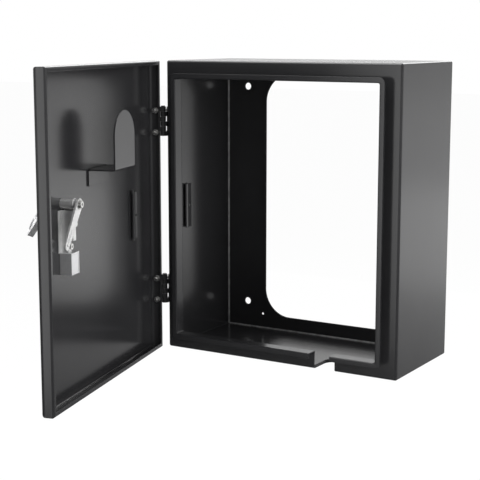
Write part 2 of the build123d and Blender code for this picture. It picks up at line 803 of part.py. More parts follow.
def write_lock():
    """The lock: fixed pieces first, then the spindle's and the handle."""
    write("lock_gasket", swing(make_lock_gasket()))
    write("lock_plate", swing(make_lock_plate()))
    write("tube_nut", swing(make_tube_nut()))
    write("clamp_bracket", swing(make_clamp_bracket()))
    write("clamp_screws", *[swing(screw) for screw in make_clamp_screws()])
    write("cylinder_housing", swing(make_cylinder_housing()))
    write("key_plug", swing(make_key_plug()))
    turning = {
        "spindle": make_spindle(),
        "stop_collar": make_stop_collar(),
        "arm_spacer": make_spacer(),
        "latch_arm": make_latch_arm(),
        "latch_washer": make_latch_washer(),
        "latch_bolt": make_latch_bolt(),
        "handle_pin": make_handle_pin(),
        "handle": lift_handle(make_handle()),
    }
    for name, solid in turning.items():
        write(name, swing(turn_latch(solid)))


os.makedirs("parts", exist_ok=True)
write_box()
write_hinges()
write_door()
write_lock()
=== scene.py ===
import bmesh
import bpy
import math
from mathutils import Matrix, Vector


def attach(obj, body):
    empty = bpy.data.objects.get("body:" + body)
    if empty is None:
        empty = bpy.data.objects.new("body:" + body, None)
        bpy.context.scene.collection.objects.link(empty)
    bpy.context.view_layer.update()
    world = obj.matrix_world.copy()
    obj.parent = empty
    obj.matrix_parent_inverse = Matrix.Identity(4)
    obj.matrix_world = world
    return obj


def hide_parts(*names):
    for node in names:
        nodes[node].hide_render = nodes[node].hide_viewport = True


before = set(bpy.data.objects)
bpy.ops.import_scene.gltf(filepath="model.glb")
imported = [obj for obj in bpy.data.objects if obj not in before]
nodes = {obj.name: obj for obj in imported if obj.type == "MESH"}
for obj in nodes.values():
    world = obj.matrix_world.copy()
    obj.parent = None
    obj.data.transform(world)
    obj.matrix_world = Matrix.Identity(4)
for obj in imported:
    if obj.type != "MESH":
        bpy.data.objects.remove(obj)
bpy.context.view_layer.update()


# Camera
# A long lens set a little above the cabinet's middle and to its right,
# at the place and angle of the photograph.
camera_place = (0.79688, -1.56154, 0.23602)
camera_turn = math.radians(31.361)
camera_dip = math.radians(9.479)
camera_lens = 92.83
camera_sensor = 36.0
camera_nearest = 0.05


def add_camera():
    data = bpy.data.cameras.new("photo_camera")
    data.lens = camera_lens
    data.sensor_width = camera_sensor
    data.clip_start = camera_nearest
    camera = bpy.data.objects.new("photo_camera", data)
    camera.location = camera_place
    camera.rotation_euler = (math.pi / 2 - camera_dip, 0.0, camera_turn)
    bpy.context.scene.collection.objects.link(camera)
    bpy.context.scene.camera = camera
    bpy.context.scene.view_settings.view_transform = "Standard"


add_camera()


# Studio
# White surroundings, as in a product photograph on white paper. The eye sees plain white,
# and so do gloss and metal behind the cabinet. The side by the camera is grey, and the
# paper is darkest on the floor close in front of the cabinet, which hangs well above it.
# Levels are pairs of a place along Y, in front of the cabinet when negative, and a grey.
world_fill = 0.7
world_levels = ((-0.8, 0.4), (-0.4, 0.3), (-0.1, 0.42), (0.15, 0.72))
floor_height = -0.6
floor_size = 30.0
floor_matt = 0.8
floor_whiteness = 0.95
floor_reach = 6.0
floor_levels = ((-4.6, 0.6), (-3.0, 0.5), (-2.0, 0.05), (-0.3, 0.06), (1.0, 0.28), (2.2, 0.8), (3.2, 1.0))


def add_math(tree, operation, first, second):
    """One sum in a node tree; each term is a socket or a number."""
    node = tree.nodes.new("ShaderNodeMath")
    node.operation = operation
    for socket, term in zip(node.inputs, (first, second)):
        if isinstance(term, (int, float)):
            socket.default_value = term
        else:
            tree.links.new(term, socket)
    return node.outputs[0]


def spread_value(tree, value, from_low, from_high, to_low, to_high):
    """Spreads a value from one range to another."""
    node = tree.nodes.new("ShaderNodeMapRange")
    settings = {"From Min": from_low, "From Max": from_high, "To Min": to_low, "To Max": to_high}
    for name, number in settings.items():
        node.inputs[name].default_value = number
    tree.links.new(value, node.inputs["Value"])
    return node.outputs["Result"]


def ramp_value(tree, value, stops, reach):
    """Grey levels at stops along a value that runs from -reach to reach."""
    node = tree.nodes.new("ShaderNodeValToRGB")
    elements = node.color_ramp.elements
    while len(elements) < len(stops):
        elements.new(1.0)
    for element, (place, level) in zip(elements, stops):
        element.position = (place + reach) / (2 * reach)
        element.color = (level, level, level, 1.0)
    tree.links.new(spread_value(tree, value, -reach, reach, 0.0, 1.0), node.inputs["Fac"])
    return node.outputs["Color"]


def read_y(tree, kind):
    """How far along Y a point or a direction lies."""
    place = tree.nodes.new("ShaderNodeTexCoord")
    axes = tree.nodes.new("ShaderNodeSeparateXYZ")
    tree.links.new(place.outputs[kind], axes.inputs["Vector"])
    return axes.outputs["Y"]


def mix_shaders(tree, share, first, second):
    """Two shaders mixed by a share from 0 to 1."""
    node = tree.nodes.new("ShaderNodeMixShader")
    for socket, source in zip(node.inputs, (share, first, second)):
        tree.links.new(source, socket)
    return node.outputs["Shader"]


def choose_nothing():
    bpy.ops.object.select_all(action="DESELECT")


def make_world():
    """White to the eye, a weaker fill for matt surfaces, and greys by direction in gloss."""
    world = bpy.data.worlds.new("white_surroundings")
    bpy.context.scene.world = world
    world.use_nodes = True
    tree = world.node_tree
    tree.nodes.clear()
    path = tree.nodes.new("ShaderNodeLightPath")
    to_eye = path.outputs["Is Camera Ray"]
    to_gloss = add_math(tree, "MAXIMUM", path.outputs["Is Glossy Ray"], path.outputs["Is Transmission Ray"])
    gloss_level = ramp_value(tree, read_y(tree, "Generated"), world_levels, 1.0)
    gloss_share = add_math(tree, "MULTIPLY", to_gloss, gloss_level)
    seen_share = add_math(tree, "MAXIMUM", to_eye, gloss_share)
    to_matt = add_math(tree, "SUBTRACT", 1.0, add_math(tree, "MAXIMUM", to_eye, to_gloss))
    fill_share = add_math(tree, "MULTIPLY", to_matt, world_fill)
    background = tree.nodes.new("ShaderNodeBackground")
    background.inputs["Color"].default_value = (1.0, 1.0, 1.0, 1.0)
    output = tree.nodes.new("ShaderNodeOutputWorld")
    tree.links.new(add_math(tree, "ADD", seen_share, fill_share), background.inputs["Strength"])
    tree.links.new(background.outputs["Background"], output.inputs["Surface"])


def add_softbox(name, place, aim, width, height, power, in_gloss):
    """A large flat lamp at one place, facing another."""
    lamp = bpy.data.lights.new(name, "AREA")
    lamp.shape = "RECTANGLE"
    lamp.size = width
    lamp.size_y = height
    lamp.energy = power
    holder = bpy.data.objects.new(name, lamp)
    holder.location = place
    holder.rotation_euler = (Vector(aim) - Vector(place)).to_track_quat("-Z", "Y").to_euler()
    holder.visible_camera = False
    holder.visible_glossy = in_gloss
    bpy.context.scene.collection.objects.link(holder)


def make_floor():
    """Paper that is white to the eye, matt to the lamps, and grey by place in gloss."""
    choose_nothing()
    bpy.ops.mesh.primitive_plane_add(size=floor_size, location=(0.0, 0.0, floor_height))
    floor = bpy.context.object
    floor.name = "floor"
    paper = bpy.data.materials.new("floor_paper")
    paper.use_nodes = True
    tree = paper.node_tree
    tree.nodes.clear()
    path = tree.nodes.new("ShaderNodeLightPath")
    matt = tree.nodes.new("ShaderNodeBsdfDiffuse")
    matt.inputs["Color"].default_value = (floor_matt, floor_matt, floor_matt, 1.0)
    white = tree.nodes.new("ShaderNodeEmission")
    white.inputs["Strength"].default_value = 1.0
    grey = tree.nodes.new("ShaderNodeEmission")
    floor_level = ramp_value(tree, read_y(tree, "Object"), floor_levels, floor_reach)
    tree.links.new(floor_level, grey.inputs["Strength"])
    white_share = add_math(tree, "MULTIPLY", path.outputs["Is Camera Ray"], floor_whiteness)
    plain = mix_shaders(tree, white_share, matt.outputs["BSDF"], white.outputs["Emission"])
    graded = mix_shaders(tree, path.outputs["Is Glossy Ray"], plain, grey.outputs["Emission"])
    output = tree.nodes.new("ShaderNodeOutputMaterial")
    tree.links.new(graded, output.inputs["Surface"])
    floor.data.materials.append(paper)


make_world()
add_softbox("top_softbox", (-0.5, -0.5, 1.7), (0.0, -0.2, 0.0), 1.8, 1.3, 36.0, True)
add_softbox("back_softbox", (0.4, 2.2, -0.45), (0.4, 0.0, -0.45), 4.0, 0.38, 1.9, True)
add_softbox("high_back_softbox", (-0.9, 2.1, 1.12), (0.0, 0.0, 0.0), 2.4, 0.8, 18.0, True)
add_softbox("right_softbox", (1.9, -0.7, 0.35), (0.0, -0.1, 0.0), 1.2, 1.6, 36.0, False)
add_softbox("front_strip", (-0.42, -1.75, 0.1), (-0.25, -0.5, 0.0), 0.35, 1.6, 3.0, True)
make_floor()


# Box and door sheet
# Cold-rolled steel sheet, folded, welded and coated with a satin black powder. The
# coating has a fine even texture, and its film levels out a little along the folds.
noise_low = 0.3
noise_high = 0.7
relief_strength = 0.2


def new_finish(name):
    """A material with one Principled shader, its node tree, and the shader."""
    finish = bpy.data.materials.new(name)
    finish.use_nodes = True
    return finish, finish.node_tree, finish.node_tree.nodes["Principled BSDF"]


def add_noise(tree, scale, detail, low, high):
    """Noise on the piece's own coordinates, spread between two values."""
    place = tree.nodes.new("ShaderNodeTexCoord")
    noise = tree.nodes.new("ShaderNodeTexNoise")
    noise.inputs["Scale"].default_value = scale
    noise.inputs["Detail"].default_value = detail
    tree.links.new(place.outputs["Object"], noise.inputs["Vector"])
    return spread_value(tree, noise.outputs["Fac"], noise_low, noise_high, low, high)


def vary_colour(tree, shader, factor, dark, light):
    """Base colour that wanders between two shades."""
    mix = tree.nodes.new("ShaderNodeMix")
    mix.data_type = "RGBA"
    mix.inputs["A"].default_value = (*dark, 1.0)
    mix.inputs["B"].default_value = (*light, 1.0)
    tree.links.new(factor, mix.inputs["Factor"])
    tree.links.new(mix.outputs["Result"], shader.inputs["Base Color"])


def add_texture(tree, shader, height, distance, edge_radius):
    """Fine relief of the surface and softly broken edges, in metres."""
    edges = tree.nodes.new("ShaderNodeBevel")
    edges.samples = 6
    edges.inputs["Radius"].default_value = edge_radius
    bump = tree.nodes.new("ShaderNodeBump")
    bump.inputs["Strength"].default_value = relief_strength
    bump.inputs["Distance"].default_value = distance
    tree.links.new(height, bump.inputs["Height"])
    tree.links.new(edges.outputs["Normal"], bump.inputs["Normal"])
    tree.links.new(bump.outputs["Normal"], shader.inputs["Normal"])


def make_powder_coat():
    finish, tree, shader = new_finish("black_powder_coat")
    vary_colour(tree, shader, add_noise(tree, 18.0, 3.0, 0.0, 1.0), (0.016, 0.016, 0.017),
                (0.019, 0.019, 0.020))
    tree.links.new(add_noise(tree, 12.0, 2.0, 0.185, 0.195), shader.inputs["Roughness"])
    add_texture(tree, shader, add_noise(tree, 500.0, 1.0, 0.0, 1.0), 0.000002, 0.0007)
    return finish


def dress(finish, *names):
    """Gives CAD nodes a finish in place of their plain one."""
    for name in names:
        mesh = nodes[name].data
        mesh.materials.clear()
        mesh.materials.append(finish)


powder_coat = make_powder_coat()
dress(powder_coat, "body_shell", "front_ring", "notch_rim", "back_panel", "cable_hook")


# Rain lip
# A strip of the front ring turned out round the opening, then folded back over itself so
# that rain runs off. Both bends are rolled, and the cable notch is cut through the bottom.
near_enough = 0.01
ring_front = -160.0
lip_front = -175.5
opening_half_width = 151.0
opening_half_height = 176.0
opening_corner = 2.5
lip_sheet = 1.5
lip_fold = 7.0
lip_corner = 7.0
lip_bend = 1.6
notch_x = 72.0
notch_width = 30.0


def choose_only(*pieces):
    """Selects these pieces alone, the first of them active."""
    choose_nothing()
    for piece in pieces:
        piece.select_set(True)
    bpy.context.view_layer.objects.active = pieces[0]


def pick(piece, kind, wanted):
    """In edit mode, selects only the vertices, edges or faces that the test accepts."""
    bpy.ops.mesh.select_mode(type=kind)
    bpy.ops.mesh.select_all(action="DESELECT")
    mesh = bmesh.from_edit_mesh(piece.data)
    mesh.normal_update()
    for item in {"VERT": mesh.verts, "EDGE": mesh.edges, "FACE": mesh.faces}[kind]:
        if wanted(item):
            item.select = True
    mesh.select_flush(True)
    bmesh.update_edit_mesh(piece.data)


def middle(edge):
    """Middle point of an edge, in millimetres."""
    return (edge.verts[0].co + edge.verts[1].co) * 500.0


def is_fold(edge):
    """Whether two faces meet at the edge at about a right angle."""
    if len(edge.link_faces) != 2:
        return False
    return abs(edge.link_faces[0].normal.dot(edge.link_faces[1].normal)) < 0.5


def add_box(name, low, high):
    """A block between two corners, in millimetres, as a new object."""
    choose_nothing()
    place = [(a + b) / 2000.0 for a, b in zip(low, high)]
    size = [(b - a) / 1000.0 for a, b in zip(low, high)]
    bpy.ops.mesh.primitive_cube_add(size=1.0, location=place, scale=size)
    bpy.ops.object.transform_apply(location=True, rotation=True, scale=True)
    bpy.context.object.name = name
    return bpy.context.object


def apply_tool(piece, kind, **settings):
    """Adds one modifier to a piece and applies it."""
    choose_only(piece)
    tool = piece.modifiers.new(kind.lower(), kind)
    for name, value in settings.items():
        setattr(tool, name, value)
    bpy.ops.object.modifier_apply(modifier=tool.name)


def combine(piece, others, operation):
    """Welds other solids to a piece, or cuts them out of it."""
    for other in others:
        apply_tool(piece, "BOOLEAN", operation=operation, object=other, solver="EXACT")
        bpy.data.objects.remove(other)


def roll_sheet(piece, bend, segments, thickness, side):
    """In edit mode, rounds the picked folds and thickens a surface, inwards from its
    outermost face along Y: the highest when side is 1, and the lowest when it is -1."""
    bpy.ops.mesh.bevel(offset=bend / 1000.0, segments=segments, affect="EDGES")
    bpy.ops.mesh.select_all(action="SELECT")
    bpy.ops.mesh.normals_make_consistent(inside=False)
    mesh = bmesh.from_edit_mesh(piece.data)
    outermost = max(mesh.faces, key=lambda face: side * face.calc_center_median().y)
    if side * outermost.normal.y < 0:
        bpy.ops.mesh.flip_normals()
    bpy.ops.object.mode_set(mode="OBJECT")
    apply_tool(piece, "SOLIDIFY", thickness=thickness / 1000.0, offset=-1.0, use_even_offset=True)


def smooth_rounds(piece):
    """Smooths round faces and keeps flat ones flat up to their rounded edges."""
    choose_only(piece)
    bpy.ops.object.shade_smooth_by_angle(angle=math.radians(40.0))
    apply_tool(piece, "WEIGHTED_NORMAL", mode="FACE_AREA", weight=50, keep_sharp=True)


def soften(piece, width, segments=3, angle=40.0):
    """Breaks the sharp edges of a piece and smooths its round faces."""
    apply_tool(piece, "WELD", merge_threshold=0.00001)
    apply_tool(piece, "BEVEL", width=width / 1000.0, segments=segments, limit_method="ANGLE",
               angle_limit=math.radians(angle), use_clamp_overlap=True, harden_normals=False)
    smooth_rounds(piece)


def finish_piece(piece, finish, slot, body, *replaced):
    """Gives a piece its finish, its body and the CAD nodes that it stands for; the slot is not used."""
    piece.data.materials.clear()
    piece.data.materials.append(finish)
    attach(piece, body)
    if replaced:
        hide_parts(*replaced)


def add_rounded_loop(half_width, half_height, corner, y):
    """In edit mode, adds a wire rectangle with round corners, in millimetres."""
    centre = (0.0, y / 1000.0, 0.0)
    bpy.ops.mesh.select_all(action="DESELECT")
    bpy.ops.mesh.primitive_plane_add(size=2.0, location=centre, rotation=(math.pi / 2, 0.0, 0.0))
    bpy.ops.transform.resize(value=(half_width / 1000.0, 1.0, half_height / 1000.0), center_override=centre)
    bpy.ops.mesh.bevel(offset=corner / 1000.0, segments=6, affect="VERTICES")
    bpy.ops.mesh.delete(type="ONLY_FACE")


def make_rain_lip():
    choose_nothing()
    bpy.ops.mesh.primitive_plane_add(size=0.001)
    lip = bpy.context.object
    lip.name = "rain_lip_sheet"
    bpy.ops.object.mode_set(mode="EDIT")
    bpy.ops.mesh.delete(type="VERT")
    add_rounded_loop(opening_half_width, opening_half_height, opening_corner, ring_front)
    add_rounded_loop(opening_half_width, opening_half_height, opening_corner, lip_front)
    bpy.ops.mesh.select_all(action="SELECT")
    bpy.ops.mesh.bridge_edge_loops()
    add_rounded_loop(opening_half_width + lip_fold, opening_half_height + lip_fold, lip_corner, lip_front)
    pick(lip, "EDGE", lambda edge: abs(middle(edge).y - lip_front) < near_enough)
    bpy.ops.mesh.bridge_edge_loops()
    pick(lip, "EDGE", lambda edge: is_fold(edge) and abs(middle(edge).y - lip_front) < near_enough)
    roll_sheet(lip, lip_bend, 5, lip_sheet, -1)
    notch = add_box("notch", (notch_x - notch_width / 2, lip_front - 4.5, -opening_half_height - 10.0),
                    (notch_x + notch_width / 2, ring_front + 10.0, -opening_half_height + 6.0))
    combine(lip, [notch], "DIFFERENCE")
    soften(lip, 0.72, segments=4, angle=55.0)
    finish_piece(lip, powder_coat, "black_powder_coat", "box", "rain_lip")


make_rain_lip()


# Corner welds
# Thin fillet welds that hold the back sheet inside the four walls, ground down and coated
# over together with the box. Here their colour is a light grey, far lighter than the box:
# a painted highlight for the bright lines that the inside corners catch.
weld_size = 2.0
wall_inside_x = 173.5
wall_inside_z = 198.5
back_inside = -1.5


def add_sheet(name, centre, width, height):
    """An upright surface about a centre, in millimetres, as a new object in edit mode."""
    choose_nothing()
    place = [value / 1000.0 for value in centre]
    bpy.ops.mesh.primitive_plane_add(size=1.0, location=place, rotation=(math.pi / 2, 0.0, 0.0))
    sheet = bpy.context.object
    sheet.name = name
    bpy.ops.object.transform_apply(location=True, rotation=True, scale=True)
    bpy.ops.object.mode_set(mode="EDIT")
    bpy.ops.transform.resize(value=(width / 1000.0, 1.0, height / 1000.0), center_override=place)
    return sheet


def make_weld_highlight_paint():
    finish, tree, shader = new_finish("weld_painted_highlight")
    # Light grey base colour: a painted highlight along the inside corners, not the coat's own black.
    vary_colour(tree, shader, add_noise(tree, 90.0, 3.0, 0.0, 1.0), (0.13, 0.13, 0.13), (0.2, 0.2, 0.2))
    tree.links.new(add_noise(tree, 200.0, 2.0, 0.22, 0.34), shader.inputs["Roughness"])
    add_texture(tree, shader, add_noise(tree, 700.0, 2.0, 0.0, 1.0), 0.00005, 0.0004)
    return finish


def make_corner_welds():
    seam = add_sheet("corner_welds", (0.0, back_inside, 0.0), 2 * wall_inside_x, 2 * wall_inside_z)
    bpy.ops.mesh.inset(thickness=weld_size / 1000.0)
    bpy.ops.mesh.delete(type="FACE")
    pick(seam, "EDGE", lambda edge: abs(middle(edge).x) > wall_inside_x - 0.1
         or abs(middle(edge).z) > wall_inside_z - 0.1)
    bpy.ops.mesh.extrude_edges_move(TRANSFORM_OT_translate={"value": (0.0, -weld_size / 1000.0, 0.0)})
    pick(seam, "EDGE", lambda edge: len(edge.link_faces) == 1)
    bpy.ops.mesh.bridge_edge_loops()
    bpy.ops.mesh.select_all(action="SELECT")
    bpy.ops.mesh.normals_make_consistent(inside=False)
    bpy.ops.object.mode_set(mode="OBJECT")
    soften(seam, 0.35, segments=2, angle=30.0)
    finish_piece(seam, make_weld_highlight_paint(), "black_powder_coat", "box")


make_corner_welds()


# Hinges
# Stamped butt hinges in black coated steel, their leaves rolled round a pin and screwed
# to the outside of the walls.
def make_hinge_black():
    finish, tree, shader = new_finish("black_hinge_steel")
    vary_colour(tree, shader, add_noise(tree, 60.0, 3.0, 0.0, 1.0), (0.016, 0.016, 0.017),
                (0.03, 0.03, 0.031))
    tree.links.new(add_noise(tree, 160.0, 2.0, 0.28, 0.38), shader.inputs["Roughness"])
    add_texture(tree, shader, add_noise(tree, 2500.0, 1.0, 0.0, 1.0), 0.00001, 0.0004)
    return finish


hinge_black = make_hinge_black()
dress(hinge_black, "lower_hinge_body_leaf", "upper_hinge_body_leaf", "lower_hinge_door_leaf",
      "upper_hinge_door_leaf", "lower_hinge_pin", "upper_hinge_pin")


# Fasteners
# Bright zinc-plated steel: the two screws of the clamp bracket, the bolt and washer that
# hold the latch arm, and the pin of the handle.
def make_plated_steel():
    finish, tree, shader = new_finish("plated_steel")
    shader.inputs["Metallic"].default_value = 1.0
    vary_colour(tree, shader, add_noise(tree, 300.0, 3.0, 0.0, 1.0), (0.62, 0.62, 0.61), (0.78, 0.78, 0.76))
    tree.links.new(add_noise(tree, 500.0, 2.0, 0.2, 0.32), shader.inputs["Roughness"])
    return finish


plated_steel = make_plated_steel()
dress(plated_steel, "clamp_screws", "latch_bolt", "latch_washer", "handle_pin")


# Hinge screws and nuts
# Round-headed machine screws with a cross recess, put in from outside, and chamfered
# hexagon nuts on flat washers inside. One of each is made, and copied to all the holes.
hinge_axis = Vector((-180.0, -161.5, 0.0))
open_door = (Matrix.Translation(hinge_axis / 1000.0) @ Matrix.Rotation(math.radians(-76.0), 4, "Z")
             @ Matrix.Translation(-hinge_axis / 1000.0))
wall_outside = -175.0
wall_sheet = 1.5
hinge_leaf = 2.0
screw_offset = 8.7
screw_heights = (-132.0, -102.0, 102.0, 132.0)
screw_hole_radius = 2.25
screw_head_radius = 4.0
screw_head_height = 2.2
screw_head_round = 1.5
recess_reach = 1.9
recess_half = 0.45
recess_bottom = -1.0
shank_radius = 2.0
shank_length = 9.5
nut_corner_radius = 4.04
nut_face_radius = 3.95
nut_height = 3.2
washer_radius = 4.2
washer_thickness = 0.8
turn_between = 23.0
over = 1.0


def settle(piece, turn):
    """Moves the mesh of a piece and leaves its object at the origin."""
    piece.data.transform(turn)
    piece.data.update()


def add_rod(name, radius, start, end, sides=32):
    """A round bar between two points on a line along X, Y or Z, in millimetres."""
    choose_nothing()
    start = Vector(start) / 1000.0
    end = Vector(end) / 1000.0
    turn = (end - start).to_track_quat("Z", "Y").to_euler()
    bpy.ops.mesh.primitive_cylinder_add(vertices=sides, radius=radius / 1000.0, depth=(end - start).length,
                                        location=(start + end) / 2, rotation=turn)
    bpy.ops.object.transform_apply(location=True, rotation=True, scale=True)
    bpy.context.object.name = name
    return bpy.context.object


def round_rim(rod, x, radius, segments):
    """Rounds the rim of a bar along X at one of its ends."""
    bpy.ops.object.mode_set(mode="EDIT")
    pick(rod, "EDGE", lambda edge: abs(middle(edge).x - x) < near_enough)
    bpy.ops.mesh.bevel(offset=radius / 1000.0, segments=segments, affect="EDGES")
    bpy.ops.object.mode_set(mode="OBJECT")


def make_screw():
    """Screw along +X from the face under its head, which is at the origin."""
    screw = add_rod("screw", screw_head_radius, (-screw_head_height, 0, 0), (0, 0, 0), 40)
    round_rim(screw, -screw_head_height, screw_head_round, 5)
    recess_top = -screw_head_height - 0.8
    cross = [add_box("slot", (recess_top, -half_y, -half_z), (recess_bottom, half_y, half_z))
             for half_y, half_z in ((recess_reach, recess_half), (recess_half, recess_reach))]
    combine(screw, cross, "DIFFERENCE")
    shank = add_rod("shank", shank_radius, (-0.5, 0, 0), (shank_length, 0, 0), 24)
    round_rim(shank, shank_length, 0.5, 1)
    combine(screw, [shank], "UNION")
    soften(screw, 0.12, segments=2, angle=50.0)
    return screw


def make_nut():
    """Nut with its outer face chamfered, standing on the plane x = 0."""
    nut = add_rod("nut", nut_corner_radius, (0, 0, 0), (nut_height, 0, 0), 6)
    dome = add_rod("dome", nut_face_radius, (0, 0, 0), (nut_height, 0, 0), 40)
    round_rim(dome, nut_height, 0.6, 3)
    combine(nut, [dome], "INTERSECT")
    bore = add_rod("bore", shank_radius, (-over, 0, 0), (nut_height + over, 0, 0), 24)
    combine(nut, [bore], "DIFFERENCE")
    soften(nut, 0.15, segments=2, angle=35.0)
    return nut


def make_washer():
    washer = add_rod("washer", washer_radius, (0, 0, 0), (washer_thickness, 0, 0), 40)
    bore = add_rod("bore", screw_hole_radius, (-over, 0, 0), (washer_thickness + over, 0, 0), 24)
    combine(washer, [bore], "DIFFERENCE")
    soften(washer, 0.12, segments=2, angle=50.0)
    return washer


def spread_copies(model, name, x, y, turn):
    """Copies of one fastener at the four holes of a wall, joined into one piece."""
    copies = []
    for count, z in enumerate(screw_heights):
        copy = model.copy()
        copy.data = model.data.copy()
        bpy.context.scene.collection.objects.link(copy)
        spin = Matrix.Rotation(math.radians(turn_between * count), 4, "X")
        copy.data.transform(turn @ Matrix.Translation((x / 1000.0, y / 1000.0, z / 1000.0)) @ spin)
        copies.append(copy)
    choose_only(*copies)
    bpy.ops.object.join()
    joined = bpy.context.object
    joined.name = name
    return joined


def make_hinge_fasteners():
    washer_seat = wall_outside + wall_sheet
    models = ((make_screw(), "screws", wall_outside - hinge_leaf),
              (make_nut(), "nuts", washer_seat + washer_thickness),
              (make_washer(), "washers", washer_seat))
    sides = (("box", "body", hinge_axis.y + screw_offset, Matrix.Identity(4)),
             ("door", "door", hinge_axis.y - screw_offset, open_door))
    for model, kind, x in models:
        for body, word, y, turn in sides:
            group = spread_copies(model, word + "_hinge_" + kind + "_plated", x, y, turn)
            finish_piece(group, plated_steel, "plated_steel", body, word + "_hinge_" + kind)
        bpy.data.objects.remove(model)


make_hinge_fasteners()


# Folded strips
# Narrow strips of coated sheet on the hinge side, one on the door and one on the box wall,
# each a lifted flange with a hole and a hooked channel, open on its other side. The door's
# channel holds a black pin.
strip_bottom = -35.0
strip_top = 27.0
strip_middle = (strip_bottom + strip_top) / 2
strip_sheet = 1.2
strip_channel = 6.0
strip_rise = 5.5
strip_flange = 9.0
strip_lift = 3.0
strip_edge = 1.6
strip_bend = 1.4
strip_hole_radius = 1.5
strip_hole_x = 6.75
door_strip_x = -0.104
body_strip_y = -0.118
skin_inside = -178.5


def fold_on(steps):
    """In edit mode, draws the picked edge out by steps along X and Y, in millimetres."""
    for x, y in steps:
        bpy.ops.mesh.extrude_edges_move(TRANSFORM_OT_translate={"value": (x / 1000.0, y / 1000.0, 0.0)})


def make_strip(name, place, body, replaced):
    """A strip on the plane y = 0, flange towards +X, then moved by a matrix."""
    strip = add_sheet(name, (strip_flange / 2, strip_sheet, strip_middle), strip_flange,
                      strip_top - strip_bottom)
    pick(strip, "VERT", lambda vertex: vertex.co.x * 1000.0 > strip_flange - near_enough)
    bpy.ops.transform.translate(value=(0.0, strip_lift / 1000.0, 0.0))
    pick(strip, "EDGE", lambda edge: abs(middle(edge).x) < near_enough)
    fold_on(((0.0, strip_rise - strip_sheet), (-strip_channel, 0.0), (0.0, -strip_edge)))
    pick(strip, "EDGE", is_fold)
    roll_sheet(strip, strip_bend, 4, strip_sheet, 1)
    hole = add_rod("hole", strip_hole_radius, (strip_hole_x, -2.0, strip_middle),
                   (strip_hole_x, 8.0, strip_middle), 32)
    combine(strip, [hole], "DIFFERENCE")
    soften(strip, 0.3, segments=3, angle=50.0)
    settle(strip, place)
    finish_piece(strip, powder_coat, "black_powder_coat", body, replaced)


def handed(matrix):
    """A mirrored placing of a strip, which is alike above and below its middle."""
    upright = Matrix.Translation((0.0, 0.0, strip_middle / 1000.0))
    return matrix @ upright @ Matrix.Rotation(math.pi, 4, "Y") @ upright.inverted()


on_door = open_door @ Matrix.Translation((door_strip_x, skin_inside / 1000.0, 0.0))
on_wall = (Matrix.Translation((-wall_inside_x / 1000.0, body_strip_y, 0.0))
           @ Matrix.Rotation(math.radians(-90.0), 4, "Z"))
make_strip("door_strip_folded", handed(on_door), "door", "door_strip")
make_strip("body_strip_folded", handed(on_wall), "box", "body_strip")
dress(hinge_black, "door_strip_pin")


# Lock castings
# Zinc castings with a satin chrome finish, put through the door sheet or seated on it:
# outside plate, handle, spindle and cylinder cover.
def make_satin_chrome():
    finish, tree, shader = new_finish("silver_casting")
    shader.inputs["Metallic"].default_value = 0.85
    vary_colour(tree, shader, add_noise(tree, 120.0, 3.0, 0.0, 1.0), (0.84, 0.84, 0.85), (0.92, 0.92, 0.93))
    tree.links.new(add_noise(tree, 260.0, 3.0, 0.3, 0.38), shader.inputs["Roughness"])
    add_texture(tree, shader, add_noise(tree, 1800.0, 2.0, 0.0, 1.0), 0.00001, 0.0005)
    return finish


satin_chrome = make_satin_chrome()
dress(satin_chrome, "lock_plate", "spindle")


# Lock stampings
# Steel with a duller zinc plating. The clamp bracket and the latch arm are stamped, and
# the tube nut, collar and spacer are turned.
def make_zinc_stamping():
    finish, tree, shader = new_finish("zinc_stamping")
    shader.inputs["Metallic"].default_value = 0.85
    vary_colour(tree, shader, add_noise(tree, 150.0, 4.0, 0.0, 1.0), (0.8, 0.8, 0.8), (0.92, 0.92, 0.91))
    tree.links.new(add_noise(tree, 400.0, 3.0, 0.3, 0.42), shader.inputs["Roughness"])
    add_texture(tree, shader, add_noise(tree, 1500.0, 2.0, 0.0, 1.0), 0.00001, 0.0004)
    return finish


zinc_stamping = make_zinc_stamping()
dress(zinc_stamping, "tube_nut", "stop_collar", "arm_spacer")


# Latch arm
# Stamped from thick strip, with a round boss on the spindle, a narrower tip, rolled edges
# and a long rib pressed up near the tip. It catches behind the front ring.
lock_x = 110.0
spindle_z = 40.0
arm_back = -157.7
arm_front = -155.1
arm_reach = 56.5
arm_boss = 7.0
arm_tip = 5.0
arm_bore = 4.0
rib_length = 22.0
rib_half = 1.5
rib_height = 0.8
rib_root = 0.4


def turn_about(axis, place, degrees):
    """Matrix of a turn about a line through a place that is given in millimetres."""
    place = Vector(place) / 1000.0
    turn = Matrix.Rotation(math.radians(degrees), 4, axis)
    return Matrix.Translation(place) @ turn @ Matrix.Translation(-place)


def add_rod_through(name, radius, x, z, y0, y1, sides):
    """A round bar along Y between two depths."""
    return add_rod(name, radius, (x, y0, z), (x, y1, z), sides)


def make_rib():
    """A bar with round ends, a little sunk into the arm's front face."""
    start = lock_x + arm_reach - rib_length + rib_half
    end = lock_x + arm_reach - rib_half
    y0 = arm_front - rib_root
    y1 = arm_front + rib_height
    rib = add_box("rib", (start, y0, spindle_z - rib_half), (end, y1, spindle_z + rib_half))
    for x in (start, end):
        combine(rib, [add_rod_through("rib_end", rib_half, x, spindle_z, y0, y1, 24)], "UNION")
    soften(rib, 0.45, segments=3, angle=40.0)
    return rib


def close_openings(piece):
    """Fills the small openings that a union of two softened solids leaves."""
    choose_only(piece)
    bpy.ops.object.mode_set(mode="EDIT")
    bpy.ops.mesh.select_all(action="SELECT")
    bpy.ops.mesh.fill_holes(sides=0)
    bpy.ops.object.mode_set(mode="OBJECT")


